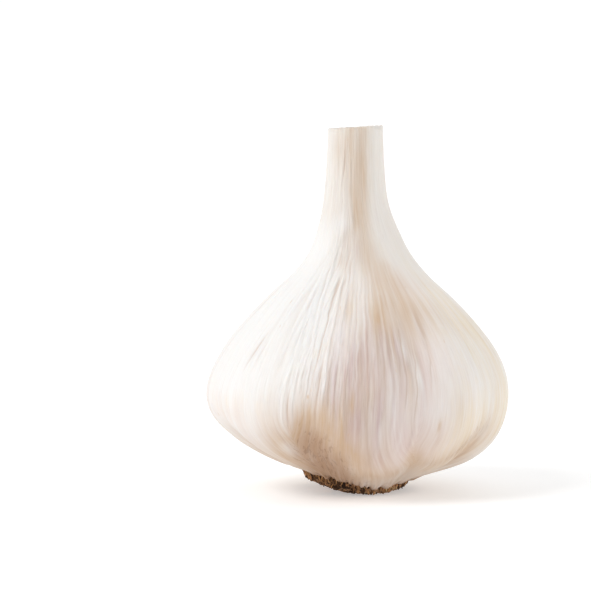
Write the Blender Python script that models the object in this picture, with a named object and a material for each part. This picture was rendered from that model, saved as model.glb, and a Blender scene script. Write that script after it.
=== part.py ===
"""Garlic bulb: cloves wrapped in dry skins that gather into a cut neck, standing on its root plate.

Run with: blender --background --python part.py

Metres, +Z up. The front of the bulb faces -Y. The origin is on the ground under the middle of the
bulb's bounding box. A turn is a direction round the bulb in degrees, from the front towards +X.
Every solid is a stack of rings with one vertex for each turn, joined into a closed skin.
"""

import math

import bpy
import bmesh
from mathutils import Vector

MM = 0.001

# Driving dimensions
BULB_HEIGHT = 74.0 * MM  # from the ground to the middle of the cut neck
BULB_RADIUS = 30.4 * MM  # of the widest ring, before the cloves bulge
FRONT_TO_BACK = 0.97  # depth of the bulb as a share of its width
PLATE_RADIUS = 9.4 * MM  # the woody root plate
PLATE_KNOB = 0.2 * MM  # how far its rim wanders in and out
STUB_RADIUS = 0.33 * MM  # a trimmed root
GAP = 0.32 * MM  # between neighbouring solids

# Meridian of the wrapped bulb, as (share of BULB_RADIUS, share of BULB_HEIGHT), from the lip of
# the socket that holds the root plate, past the widest ring, up to the cut
OUTLINE = (
    (0.364, 0.0400),
    (0.394, 0.0388),
    (0.474, 0.0615),
    (0.622, 0.0880),
    (0.790, 0.1200),
    (0.925, 0.1690),
    (0.990, 0.2270),
    (1.000, 0.2890),
    (0.962, 0.3460),
    (0.880, 0.4070),
    (0.757, 0.4705),
    (0.609, 0.5350),
    (0.454, 0.5945),
    (0.339, 0.6540),
    (0.273, 0.7160),
    (0.224, 0.7785),
    (0.201, 0.8435),
    (0.188, 0.9245),
    (0.181, 1.0000),
)
SOCKET_RADIUS = 0.359 * BULB_RADIUS
SOCKET_HEIGHT = 0.054 * BULB_HEIGHT

CLOVE_EDGES = (-70, -20, 24, 57, 100, 150, 195, 240, 290)  # the turns of the valleys between cloves
CLOVE_BULGE = 1.7 * MM  # per unit of lobe
MEAN_LOBE = 0.55
VALLEY_SOFTNESS = 0.25  # how far the skin bridges a valley
CLOVE_DROP = 0.95 * MM  # the front clove's foot hangs this far below the others
DROP_TURN = 14  # where it hangs lowest
DROP_SPREAD = 44  # and how far that reaches each way

LEAN = 0.1  # the underside falls this much per unit of +X
LEAN_TOP = 27 * MM  # and the lean has faded out at this height
BODY_SHIFT = 0.9 * MM  # the shoulders stand this far to +X of the neck
CUT_SLOPE = 0.058  # the cut rises this much per unit of +X
CUT_START = 60 * MM  # the height where the rings start to turn towards the cut

# The flat spot that the bulb stands on, an ellipse worn off the underside of the plate
REST_CENTRE = Vector((2.3, -1.0, 0)) * MM
REST_SIZE = (5.6 * MM, 7.6 * MM)
LOW_TURN = 20  # where the plate's rim is nearest to the ground

BULB_RINGS = 34
BULB_SIDES = 64
PLATE_SIDES = 36
STUB_COUNT = 24
STUB_SIDES = 6

SKIN_COLOUR = (0.86, 0.82, 0.76, 1)
PLATE_COLOUR = (0.16, 0.10, 0.06, 1)
ROOT_COLOUR = (0.42, 0.30, 0.15, 1)


def clear_scene():
    for obj in list(bpy.data.objects):
        bpy.data.objects.remove(obj, do_unlink=True)


def material(name, colour, roughness):
    made = bpy.data.materials.new(name)
    made.use_nodes = True
    shader = made.node_tree.nodes["Principled BSDF"]
    shader.inputs["Base Color"].default_value = colour
    shader.inputs["Roughness"].default_value = roughness
    shader.inputs["Metallic"].default_value = 0.0
    return made


def ease(low, high, value):
    """0 below low, 1 above high, and a smooth step between them."""
    share = min(max((value - low) / (high - low), 0.0), 1.0)
    return share * share * (3 - 2 * share)


def outward(turn):
    """The level direction from the axis at this turn, shortened towards front and back."""
    angle = math.radians(turn)
    return Vector((math.sin(angle), -math.cos(angle) * FRONT_TO_BACK, 0))


def turns(count):
    return [360 * side / count - 180 for side in range(count)]


def curve_through(points, steps):
    """steps + 1 points, evenly spaced along a Catmull-Rom curve through points."""
    held = [points[0] * 2 - points[1], *points, points[-1] * 2 - points[-2]]
    fine = []
    for a, b, c, d in zip(held, held[1:], held[2:], held[3:]):
        for step in range(16):
            t = step / 16
            bend = (2 * a - 5 * b + 4 * c - d) * t**2 + (3 * b - a - 3 * c + d) * t**3
            fine.append(b + 0.5 * ((c - a) * t + bend))
    fine.append(points[-1])
    lengths = [0.0]
    for before, after in zip(fine, fine[1:]):
        lengths.append(lengths[-1] + (after - before).length)
    spaced = []
    at = 0
    for step in range(steps + 1):
        wanted = lengths[-1] * step / steps
        while at < len(fine) - 2 and lengths[at + 1] < wanted:
            at += 1
        share = (wanted - lengths[at]) / (lengths[at + 1] - lengths[at])
        spaced.append(fine[at].lerp(fine[at + 1], share))
    return spaced


def lobe(turn):
    """0 in the valley between two cloves, and about 0.78 on a crest."""
    turn = (turn - CLOVE_EDGES[0]) % 360 + CLOVE_EDGES[0]
    for low, high in zip(CLOVE_EDGES, CLOVE_EDGES[1:]):
        if turn <= high:
            crest = math.sin(math.pi * (turn - low) / (high - low))
            return math.hypot(crest, VALLEY_SOFTNESS) - VALLEY_SOFTNESS
    return 0.0


def lean(height):
    """How much a point at this height falls per unit of +X."""
    return LEAN * (1 - ease(0, LEAN_TOP, height))


def skin_point(radius, height, slope, turn):
    """A point of the skin. slope is the outline's outward normal as (radial, up)."""
    bulge = CLOVE_BULGE * (lobe(turn) - MEAN_LOBE)
    bulge *= ease(2.9 * MM, 7.4 * MM, height) * (1 - ease(26 * MM, 50 * MM, height))
    radius += slope[0] * bulge
    height += slope[1] * bulge
    hang = math.cos(math.radians(90 * min(abs(turn - DROP_TURN) / DROP_SPREAD, 1)))
    height -= CLOVE_DROP * hang**2 * (1 - ease(3 * MM, 14 * MM, height))
    point = outward(turn) * radius
    point.x += BODY_SHIFT * ease(4 * MM, 34 * MM, height) * (1 - ease(46 * MM, 62 * MM, height))
    cut = CUT_SLOPE * ease(CUT_START, BULB_HEIGHT, height)
    point.z = height + (cut - lean(height)) * point.x
    return point


def bulb_rings():
    ceiling = []
    for turn in turns(BULB_SIDES):
        point = outward(turn) * SOCKET_RADIUS
        point.z = SOCKET_HEIGHT - LEAN * point.x
        ceiling.append(point)
    rings = [ceiling]
    outline = [Vector((r * BULB_RADIUS, z * BULB_HEIGHT)) for r, z in OUTLINE]
    line = curve_through(outline, BULB_RINGS)
    for at, (radius, height) in enumerate(line):
        along = line[min(at + 1, BULB_RINGS)] - line[max(at - 1, 0)]
        along.normalize()
        slope = (along.y, -along.x)
        rings.append([skin_point(radius, height, slope, turn) for turn in turns(BULB_SIDES)])
    return rings


def rim_rise(turn):
    """How far the root plate's rim stands off the ground: nothing at LOW_TURN, most at -X."""
    away = math.radians(turn - LOW_TURN)
    return (2.3 - 0.9 * math.sin(away)) * abs(math.sin(away / 2)) * MM


def rim_point(share, turn):
    """A point of the plate's wandering rim, or inside it by share, at ground height."""
    wander = math.sin(math.radians(5 * turn)) + 0.6 * math.sin(math.radians(9 * turn + 40))
    return outward(turn) * share * (PLATE_RADIUS + PLATE_KNOB * wander / 1.6)


def plate_rings():
    top = SOCKET_HEIGHT - GAP
    sole = []
    foot = []
    flank = []
    shoulder = []
    cap = []
    for turn in turns(PLATE_SIDES):
        angle = math.radians(turn)
        offset = Vector((math.sin(angle) * REST_SIZE[0], -math.cos(angle) * REST_SIZE[1], 0))
        sole.append(REST_CENTRE + offset)
        for ring, share, above in ((foot, 0.97, 0.06 * MM), (flank, 1.0, 0.4 * MM)):
            point = rim_point(share, turn)
            point.z = rim_rise(turn) + above
            ring.append(point)
        for ring, share, below in ((shoulder, 1.0, 0.35 * MM), (cap, 0.95, 0.0)):
            point = rim_point(share, turn)
            point.z = top - below - LEAN * point.x
            ring.append(point)
    return [sole, foot, flank, shoulder, cap]


def stub_rings(turn, length):
    """A trimmed root beside the plate's rim. length is its share of the room under the socket."""
    middle = outward(turn) * (PLATE_RADIUS + PLATE_KNOB + GAP + STUB_RADIUS)
    head = SOCKET_HEIGHT - GAP - LEAN * middle.x - LEAN * STUB_RADIUS
    lowest = rim_rise(turn) + 0.25 * MM
    foot = head - (head - lowest) * length
    rings = []
    for share, size in ((0.0, 0.75), (0.2, 1.0), (1.0, 0.9)):
        middle.z = foot + (head - foot) * share
        sides = [math.radians(side) for side in turns(STUB_SIDES)]
        ring = [middle + Vector((math.sin(side), -math.cos(side), 0)) * STUB_RADIUS * size for side in sides]
        rings.append(ring)
    return rings


def loft(name, rings, finish):
    """A closed solid through rings of equal length, each anticlockwise from above, lowest first."""
    mesh = bmesh.new()
    rows = [[mesh.verts.new(point) for point in ring] for ring in rings]
    for low, high in zip(rows, rows[1:]):
        for side, corner in enumerate(low):
            after = (side + 1) % len(low)
            mesh.faces.new((corner, low[after], high[after], high[side]))
    mesh.faces.new(reversed(rows[0]))
    mesh.faces.new(rows[-1])
    bmesh.ops.recalc_face_normals(mesh, faces=mesh.faces)
    data = bpy.data.meshes.new(name)
    mesh.to_mesh(data)
    mesh.free()
    data.shade_smooth()
    data.set_sharp_from_angle(angle=math.radians(40))
    data.materials.append(finish)
    obj = bpy.data.objects.new(name, data)
    bpy.context.scene.collection.objects.link(obj)
    return obj


def main():
    clear_scene()
    skin_rings = bulb_rings()
    points = [point for ring in skin_rings for point in ring]
    axis = bpy.data.objects.new("bulb_axis", None)
    bpy.context.scene.collection.objects.link(axis)
    axis.location.x = -(min(point.x for point in points) + max(point.x for point in points)) / 2
    axis.location.y = -(min(point.y for point in points) + max(point.y for point in points)) / 2

    made = [loft("bulb", skin_rings, material("skin", SKIN_COLOUR, 0.5))]
    made.append(loft("root_plate", plate_rings(), material("root_plate", PLATE_COLOUR, 0.85)))
    root = material("root", ROOT_COLOUR, 0.8)
    for count in range(STUB_COUNT):
        turn = 360 * (count + 0.5) / STUB_COUNT - 180
        length = 0.82 + 0.18 * math.sin(2.4 * count)
        made.append(loft(f"root_stub_{count + 1:02d}", stub_rings(turn, length), root))
    for obj in made:
        obj.parent = axis


main()
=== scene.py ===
"""Looks of the garlic bulb: dry, pleated, papery skins, a cut neck, and a woody root plate with roots.

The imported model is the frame. Every size below comes from it through MM, and every surface is computed
here in numpy from the same outline that the frame's bulb has. A turn is a direction round the bulb in
degrees, from the front (-Y) towards +X. A rise is a height as a share of the bulb's.
"""

import math

import bpy
import numpy as np
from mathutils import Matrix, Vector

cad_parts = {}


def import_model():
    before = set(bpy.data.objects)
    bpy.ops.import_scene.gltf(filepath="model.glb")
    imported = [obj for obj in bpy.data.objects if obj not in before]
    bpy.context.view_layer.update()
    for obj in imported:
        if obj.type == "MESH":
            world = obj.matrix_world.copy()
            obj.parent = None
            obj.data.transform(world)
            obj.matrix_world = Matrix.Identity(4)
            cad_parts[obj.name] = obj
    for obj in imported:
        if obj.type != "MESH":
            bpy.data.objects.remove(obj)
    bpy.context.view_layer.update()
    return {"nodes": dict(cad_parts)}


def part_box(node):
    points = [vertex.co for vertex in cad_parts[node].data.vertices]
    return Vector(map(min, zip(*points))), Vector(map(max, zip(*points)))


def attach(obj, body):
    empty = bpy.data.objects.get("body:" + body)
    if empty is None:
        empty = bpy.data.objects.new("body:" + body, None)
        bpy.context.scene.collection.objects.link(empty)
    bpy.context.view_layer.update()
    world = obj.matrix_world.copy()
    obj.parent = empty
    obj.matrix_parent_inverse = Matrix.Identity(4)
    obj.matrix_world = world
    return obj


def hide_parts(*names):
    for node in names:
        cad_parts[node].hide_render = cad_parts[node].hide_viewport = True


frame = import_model()

BULB_WIDTH = 61.34  # of the frame's bulb, in millimetres
BULB_LOW, BULB_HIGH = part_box("bulb")
MM = (BULB_HIGH.x - BULB_LOW.x) / BULB_WIDTH  # one millimetre
ROOT_NODES = sorted(name for name in frame["nodes"] if name.startswith("root_stub"))

RADIUS = 30.4 * MM  # of the widest ring, before the cloves bulge
HEIGHT = 74.0 * MM  # from the ground to the middle of the cut neck
FRONT_TO_BACK = 0.97  # depth of the bulb as a share of its width
AXIS_X = -0.39 * MM  # where the bulb's axis stands
AXIS_Y = 0.07 * MM

# Meridian of the wrapped bulb, as (share of RADIUS, share of HEIGHT), from the lip of the socket that
# holds the root plate, past the widest ring, up to the cut
OUTLINE = (
    (0.364, 0.04), (0.394, 0.0388), (0.474, 0.0615), (0.622, 0.088), (0.79, 0.12),
    (0.925, 0.169), (0.99, 0.227), (1.0, 0.289), (0.962, 0.346), (0.88, 0.407),
    (0.757, 0.4705), (0.609, 0.535), (0.454, 0.5945), (0.339, 0.654), (0.273, 0.716),
    (0.224, 0.7785), (0.201, 0.8435), (0.188, 0.9245), (0.181, 1.0),
)
SOCKET_RADIUS = 0.359 * RADIUS
SOCKET_HEIGHT = 0.054 * HEIGHT

CLOVE_EDGES = np.array((-70, -20, 24, 57, 100, 150, 195, 240, 290))  # the turns of the valleys
COMB_EDGES = np.array((-70, -28, 24, 57, 100, 150, 195, 240, 290))  # where the fibres of two cloves meet
CLOVE_BULGE = 1.7 * MM  # per unit of lobe
MEAN_LOBE = 0.55
VALLEY_SOFTNESS = 0.25  # how far the skin bridges a valley
CLOVE_DROP = 0.95 * MM  # the front clove's foot hangs this far below the others
DROP_TURN = 14  # where it hangs lowest
DROP_SPREAD = 44  # and how far that reaches each way

LEAN = 0.1  # the underside falls this much per unit of +X
LEAN_TOP = 27 * MM  # and the lean has faded out at this height
BODY_SHIFT = 0.9 * MM  # the shoulders stand this far to +X of the neck
CUT_SLOPE = 0.058  # the cut rises this much per unit of +X
CUT_START = 60 * MM  # the height where the skin starts to turn towards the cut

GAP = 0.32 * MM  # between the cork and the ceiling of the socket over it
REST_X = 2.3 * MM  # the middle of the worn oval that the bulb stands on
REST_Y = -1.0 * MM
REST_REACH_X = 5.6 * MM  # how far it reaches each way along X
REST_REACH_Y = 7.6 * MM  # and along Y
LOW_TURN = 20  # where the plate's rim is nearest to the ground

SKIN_SIDES = 864
SKIN_RINGS = 106
SEED = 7


def ease(low, high, value):
    """0 below low, 1 above high, and a smooth step between them."""
    share = np.clip((value - low) / (high - low), 0, 1)
    return share * share * (3 - 2 * share)


def near(middle, spread, value):
    """A bump that is 1 at middle and fades over spread."""
    return np.exp(-(((value - middle) / spread) ** 2))


def turn_gap(turn, middle):
    """How far turn is from middle, in degrees, the short way round."""
    return (turn - middle + 180) % 360 - 180


def facing(middle, spread, turn):
    """A bump that is 1 at the turn middle and fades over spread."""
    return near(0, spread, turn_gap(turn, middle))


# ---------------------------------------------------------------- the shape of the wrapped bulb


def smooth_line(points, count):
    """count + 1 points evenly along a Catmull-Rom curve through points, with its bends softened."""
    points = np.array(points, float)
    held = np.vstack([2 * points[0] - points[1], points, 2 * points[-1] - points[-2]])
    fine = []
    for a, b, c, d in zip(held, held[1:], held[2:], held[3:]):
        t = np.linspace(0, 1, 24, endpoint=False)[:, None]
        bend = (2 * a - 5 * b + 4 * c - d) * t**2 + (3 * b - a - 3 * c + d) * t**3
        fine.append(b + 0.5 * ((c - a) * t + bend))
    fine = np.vstack([*fine, points[-1:]])
    length = np.concatenate([[0], np.cumsum(np.linalg.norm(np.diff(fine, axis=0), axis=1))])
    even = np.linspace(0, length[-1], count + 1)
    line = np.column_stack([np.interp(even, length, fine[:, axis]) for axis in (0, 1)])
    for _ in range(50):
        line[2:-1] = 0.25 * line[1:-2] + 0.5 * line[2:-1] + 0.25 * line[3:]
    return line, even / length[-1]


def crowded(low, high, count, middle, spread, more):
    """count values from low to high, crowded together near middle."""
    fine = np.linspace(low, high, 4001)
    total = np.concatenate([[0], np.cumsum(1 + more * near(middle, spread, fine[1:]))])
    return np.interp(np.linspace(0, total[-1], count), total, fine)


def lobe(turn):
    """0 in the valley between two cloves, and about 0.78 on a crest."""
    turn = (turn - CLOVE_EDGES[0]) % 360 + CLOVE_EDGES[0]
    place = np.clip(np.searchsorted(CLOVE_EDGES, turn, side="right") - 1, 0, len(CLOVE_EDGES) - 2)
    share = (turn - CLOVE_EDGES[place]) / (CLOVE_EDGES[place + 1] - CLOVE_EDGES[place])
    return np.hypot(np.sin(math.pi * share), VALLEY_SOFTNESS) - VALLEY_SOFTNESS


def settled(turn, rise):
    """The turn, with the valley to the right of the front clove swung outwards at the foot."""
    return turn - 14 * near(32, 22, turn) * (1 - ease(0.05, 0.17, rise))


# The turns of the skin's columns of points, which stand closest together in front
SKIN_TURNS = crowded(-180, 180, SKIN_SIDES + 1, -10, 62, 0.8)[:-1]


def skin_points(radius, height, out, up, turn, relief):
    """Places the skin. (out, up) is the outline's normal, and relief is measured along it."""
    bulge = CLOVE_BULGE * (lobe(settled(turn, height / HEIGHT)) - MEAN_LOBE)
    bulge = bulge * ease(2.9 * MM, 7.4 * MM, height) * (1 - ease(26 * MM, 50 * MM, height))
    radius = radius + out * (bulge + relief)
    height = height + up * (bulge + relief)
    hang = np.cos(np.radians(90 * np.minimum(np.abs(turn - DROP_TURN) / DROP_SPREAD, 1)))
    height = height - CLOVE_DROP * hang**2 * (1 - ease(3 * MM, 14 * MM, height))
    angle = np.radians(turn)
    x = radius * np.sin(angle)
    x = x + BODY_SHIFT * ease(4 * MM, 34 * MM, height) * (1 - ease(46 * MM, 62 * MM, height))
    y = -radius * np.cos(angle) * FRONT_TO_BACK
    lean = LEAN * (1 - ease(0, LEAN_TOP, height))
    cut = CUT_SLOPE * ease(CUT_START, HEIGHT, height)
    z = height + (cut - lean) * x
    return np.stack([x + AXIS_X, y + AXIS_Y, z], axis=-1)


# ---------------------------------------------------------------- relief of the dry skin


def ripples(turn, along, low, high, count, drift, seed):
    """Ripples that run up the bulb, of low to high waves all round, about 1 high at most.

    drift is how many waves each one slides sideways between the foot and the cut.
    """
    draw = np.random.default_rng(seed)
    total = np.zeros(np.broadcast(turn, along).shape)
    for _ in range(count):
        waves = draw.integers(low, high)
        slide = draw.normal(0, drift) * along + draw.normal(0, drift / 2) * along**2
        total += np.cos(np.radians(turn) * waves + 2 * math.pi * (draw.random() + slide))
    return total / math.sqrt(count / 2) / 2.2


def mottle(turn, along, across, up, seed):
    """Smooth noise over the skin, -1 to 1, with this many cells round the bulb and up it."""
    cells = np.random.default_rng(seed).uniform(-1, 1, (up + 3, across))
    turn, along = np.broadcast_arrays(turn, along)
    column = (turn / 360) % 1 * across
    row = np.clip(along, 0, 1) * up + 0.5
    left = np.floor(column).astype(int)
    low = np.floor(row).astype(int)
    right_share = ease(0, 1, column - left)
    high_share = ease(0, 1, row - low)
    left = left % across
    right = (left + 1) % across
    below = cells[low, left] * (1 - right_share) + cells[low, right] * right_share
    above = cells[low + 1, left] * (1 - right_share) + cells[low + 1, right] * right_share
    return below * (1 - high_share) + above * high_share


def patches(turn, along, seed, across=9, up=6):
    """Slow variation over the skin, about -1 to 1."""
    coarse = mottle(turn, along, across, up, seed)
    fine = mottle(turn, along, 2 * across + 1, 2 * up, seed + 1)
    return (coarse + 0.5 * fine) / 1.2


def combed(turn, rise):
    """The turn where the fibre at this point crosses the belly: under it they run down, not inwards."""
    turn = settled(turn, rise)
    inside = (turn - COMB_EDGES[0]) % 360 + COMB_EDGES[0]
    place = np.clip(np.searchsorted(COMB_EDGES, inside, side="right") - 1, 0, len(COMB_EDGES) - 2)
    middle = 0.5 * (COMB_EDGES[place] + COMB_EDGES[place + 1])
    return turn - 0.45 * (inside - middle) * (1 - ease(0.035, 0.24, rise))


def groove_turn(rise):
    """Where the furrow down the front of the neck runs."""
    rises = (0.46, 0.537, 0.593, 0.64, 0.705, 0.75, 0.85, 1.0)
    return np.interp(rise, rises, (16, 15, 14.5, 9, 6, 9, 13, 14))


def sheath_edge(rise):
    """Where the edge of the outermost sheath runs: down the front of the neck, then out over the shoulder."""
    rises = (0.5, 0.56, 0.66, 0.715, 0.74, 0.85, 1.0)
    return np.interp(rise, rises, (-28, -28, -28, -17, -10, -11, -14)) + 1.2 * np.sin(rise * 43)


# Folds that can be told apart: the turns and the rises of the top and bottom ends, the half width
# in millimetres, and the height in millimetres, which is negative for a furrow
FOLDS = (
    (-31, -26, 0.66, 0.5, 0.26, -0.07), (-28, -22, 0.65, 0.42, 0.3, 0.17),
    (-24, -31, 0.705, 0.61, 0.17, 0.14), (-19, -25, 0.7, 0.6, 0.16, -0.11),
    (-29, -37, 0.7, 0.62, 0.18, 0.12), (-15, -18, 0.71, 0.62, 0.16, 0.11),
    (-34, -43, 0.69, 0.62, 0.2, -0.09), (-17, -24, 0.63, 0.5, 0.28, 0.14),
    (-14, -20, 0.64, 0.52, 0.24, -0.08), (-12, -18, 0.65, 0.46, 0.28, 0.12),
    (-8, -11, 0.67, 0.54, 0.22, -0.1), (-11, -14, 0.7, 0.62, 0.4, -0.16),
    (1, -2, 0.64, 0.54, 0.28, 0.18), (8, 5, 0.6, 0.48, 0.26, 0.16),
    (-36, -33, 0.64, 0.5, 0.34, 0.14), (-13, -27, 0.99, 0.86, 0.2, -0.12),
    (-22, -33, 0.97, 0.8, 0.22, 0.14), (-34, -42, 0.98, 0.78, 0.24, -0.09),
    (-5, -12, 0.99, 0.86, 0.22, 0.13), (-21, -24, 1.02, 0.86, 0.26, -0.13),
    (-3, -6, 0.9, 0.74, 0.24, 0.12), (-15, -14, 0.65, 0.26, 0.33, 0.22),
    (-18, -19, 0.62, 0.3, 0.25, -0.12), (-10, -10, 0.6, 0.22, 0.31, 0.18),
    (-7, -5, 0.64, 0.3, 0.31, 0.16), (-3, -2, 0.6, 0.3, 0.25, -0.08),
    (2, 2, 0.62, 0.36, 0.35, 0.14), (-33, -36, 0.62, 0.34, 0.45, 0.16),
    (-40, -44, 0.6, 0.42, 0.55, 0.12), (-49, -52.5, 0.46, 0.35, 0.45, -0.28),
    (-46, -49, 0.46, 0.33, 0.4, 0.2), (-52, -57, 0.58, 0.36, 0.6, 0.12),
    (-16, -17, 0.42, 0.2, 0.3, -0.14), (-21, -22, 0.42, 0.24, 0.28, 0.2),
    (-26, -27, 0.4, 0.2, 0.32, 0.18), (-30, -31, 0.38, 0.18, 0.32, 0.16),
    (-28, -29, 0.33, 0.17, 0.25, -0.12), (19, 17, 0.5, 0.24, 0.22, -0.14),
    (24, 21, 0.46, 0.22, 0.22, -0.13), (31, 28, 0.45, 0.3, 0.26, -0.09),
    (21, 19, 0.48, 0.26, 0.3, 0.1), (9, 9, 0.44, 0.26, 0.26, -0.08),
    (14, 13, 0.42, 0.22, 0.26, 0.08), (-12.5, -13, 0.42, 0.26, 0.22, 0.22),
    (-18.5, -19, 0.4, 0.27, 0.2, 0.18), (-23.5, -24.5, 0.45, 0.3, 0.2, 0.14),
    (-5.5, -6.5, 0.4, 0.2, 0.22, 0.14), (-2.5, -3.0, 0.36, 0.22, 0.2, -0.1),
    (2.8, 2.6, 0.4, 0.24, 0.2, 0.1), (62, 38, 0.24, 0.11, 0.24, -0.14),
    (58, 36, 0.2, 0.1, 0.2, -0.08), (66, 50, 0.25, 0.13, 0.22, -0.12),
    (71, 62, 0.24, 0.13, 0.22, -0.1), (59, 44, 0.22, 0.13, 0.26, 0.1),
    (57, 57, 0.2, 0.06, 1.6, 0.3), (-34, -30, 0.2, 0.07, 0.5, -0.22),
    (-3.0, -3.4, 0.315, 0.255, 0.22, -0.16),
)


def every_fold():
    """FOLDS, and 90 more at random places round the sides and the back."""
    draw = np.random.default_rng(SEED)
    folds = list(FOLDS)
    for _ in range(90):
        place = draw.uniform(88, 316)
        top = draw.uniform(0.36, 0.68)
        bottom = max(top - draw.uniform(0.1, 0.4), 0.07)
        high = draw.choice((1, 1, -0.5)) * draw.uniform(0.04, 0.16)
        folds.append((place, place + draw.normal(0, 1.5), top, bottom, draw.uniform(0.25, 0.5), high))
    return folds


def pleated(folds, bent, wander, rise, radius):
    """Adds every fold to the relief. Returns it, and painted shade: how far each point lies in a thin furrow
    or in the painted shadow just right of a ridge.
    """
    furrow = np.zeros(folds.shape)
    for start, end, top, bottom, width, high in every_fold():
        place = end + (start - end) * (rise - bottom) / (top - bottom)
        across = np.radians(turn_gap(bent, place + 0.6 * wander)) * radius / (width * MM)
        across = np.where(across > 0, 1.5 * across, 0.8 * across)
        length = ease(bottom - 0.03, bottom + 0.07, rise) * (1 - ease(top - 0.07, top + 0.03, rise))
        folds += high * length * (np.exp(-(across**2)) - 0.4 * np.exp(-((across / 2.2) ** 2)))
        # Painted shade along each furrow, and a painted shadow just right of each ridge's crest, on the side
        # away from the key light.
        if high < 0:
            furrow += length * near(0, 0.8, across) * min(1, -high / 0.12)
        else:
            furrow += 0.55 * length * near(1.5, 0.8, across) * min(1, high / 0.25)
    return folds, np.clip(furrow * (1 - 0.45 * ease(0.7, 0.8, rise)), 0, 1)


def drawn_in(turn, rise):
    """How far the skin is drawn in at the foot, in millimetres. Where it is negative, the foot is fuller."""
    total = 0.12 * facing(88, 46, turn) * (1 - ease(0.1, 0.22, rise))
    total += 0.4 * facing(84, 30, turn) * (1 - ease(0.045, 0.065, rise))
    total -= 0.85 * facing(-80, 32, turn) * near(0.08, 0.035, rise)
    return total + 0.6 * facing(-76, 34, turn) * (1 - ease(0.045, 0.062, rise))


def crinkled_neck_foot(turn, rise):
    """1 in the middle of the crinkles where the neck widens into the shoulder, left of the front."""
    return facing(-24, 15, turn) * near(0.665, 0.05, rise)


def skin_relief(turn, rise, radius, along):
    """The height of the folds in metres, and three guides for the skin's looks.

    The guides are the painted shade deep in the folds, the painted shade in thin furrows and the painted
    shadow beside ridges, and the turn that the folds and stains follow, which wanders a little from the true
    one.
    """
    neck = ease(0.6, 0.74, rise)
    shoulder = near(0.56, 0.14, rise)
    calm = 0.32 + 0.68 * ease(0.13, 0.28, rise)
    belly = calm * ease(0.03, 0.08, rise) * (1 - ease(0.42, 0.62, rise))
    gathered = 0.4 + 0.85 * facing(-25, 36 - 15 * shoulder, turn)
    gathered += 0.3 * patches(turn, along, 11)
    gathered *= (1 - 0.75 * facing(64, 36, turn) * (1 - neck))
    gathered *= (1 - 0.65 * facing(30, 17, turn) * near(0.55, 0.1, rise))
    gathered = np.clip(gathered, 0.1, 1.4) + 0.5 * neck * ease(60, 110, np.abs(turn))

    crinkle = 0.35 + 0.65 * facing(-22, 40, turn) + 0.5 * patches(turn, along, 13)
    crinkle = np.clip(crinkle, 0, 1)
    wander = 1.6 * patches(turn, along, 5)
    crinkles = mottle(turn, along, 96, 30, 15) + 0.6 * mottle(turn, along, 150, 52, 16)
    bent = turn + wander + np.degrees(0.16 * MM / radius) * crinkles * crinkle
    straight = combed(bent, rise)
    skew = 1.4 * mottle(turn, along, 36, 8, 12) + 0.7 * mottle(turn, along, 80, 18, 14)
    skew = skew + (3.0 * shoulder + 7.0 * neck) * mottle(turn, along, 22, 12, 20) + 60 * neck * (rise - 0.86)
    askew = straight + skew
    crisp = facing(-16, 15, turn) * near(0.34, 0.15, rise) + 0.6 * crinkled_neck_foot(turn, rise)
    broken = mottle(askew, along, 84, 9, 17) * (1 - 0.6 * crisp) + crisp * mottle(askew, along, 100, 28, 27)
    broken = np.clip(0.4 + 1.25 * broken, 0, 1.4)
    broad = ripples(straight, along, 14, 40, 14, 0.6, 21)
    middle = ripples(askew, along, 44, 130, 34, 1.4, 22)
    fine = ripples(straight, along, 150, 290, 40, 1.8, 23)
    gathers = 0.45 - np.sqrt(ripples(askew, along, 30, 84, 24, 0.8, 24) ** 2 + 0.015)
    sharp = (0.45 - np.sqrt(middle**2 + 0.03)) * broken

    folds = broad * (0.015 * belly + 0.05 * shoulder + 0.05 * neck)
    folds += sharp * (0.06 * belly + 0.04 * shoulder + 0.04 * neck)
    folds += fine * broken * (0.022 * belly + 0.013 * shoulder + 0.012 * neck)
    folds += gathers * np.clip(broken + 0.3, 0, 1.2) * (0.14 - 0.07 * ease(0.74, 0.84, rise)) * neck
    folds *= gathered
    crumple = 0.4 - np.abs(mottle(bent, along, 150, 40, 18) + 0.5 * mottle(bent, along, 240, 70, 19))
    folds += (0.02 * crinkle + 0.07 * crisp) * crumple * (belly + shoulder)
    folds, furrow = pleated(folds, bent, wander, rise, radius)

    unevenness = 0.2 * patches(turn, along, 31) * belly
    hollow = -0.24 * facing(groove_turn(rise), 13, turn) * ease(0.5, 0.68, rise)
    edge = turn_gap(bent, sheath_edge(rise))
    sheath = (0.22 - 0.12 * ease(0.7, 0.8, rise)) * (1 - ease(-1.2, 2.4, edge)) * ease(0.5, 0.6, rise)
    sheath *= near(0, 46, np.minimum(edge, 0))
    valley = -0.16 * np.clip(1 - lobe(settled(turn, rise)) / 0.25, 0, 1) * near(0.11, 0.07, rise)
    relief = folds + unevenness + hollow + sheath + valley - drawn_in(turn, rise)
    # Painted shade: the colour is darker where the folds sink in.
    fold_shade = np.clip(0.5 - 3.0 * folds, 0, 1)
    return relief * MM, fold_shade, furrow, bent


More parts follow.
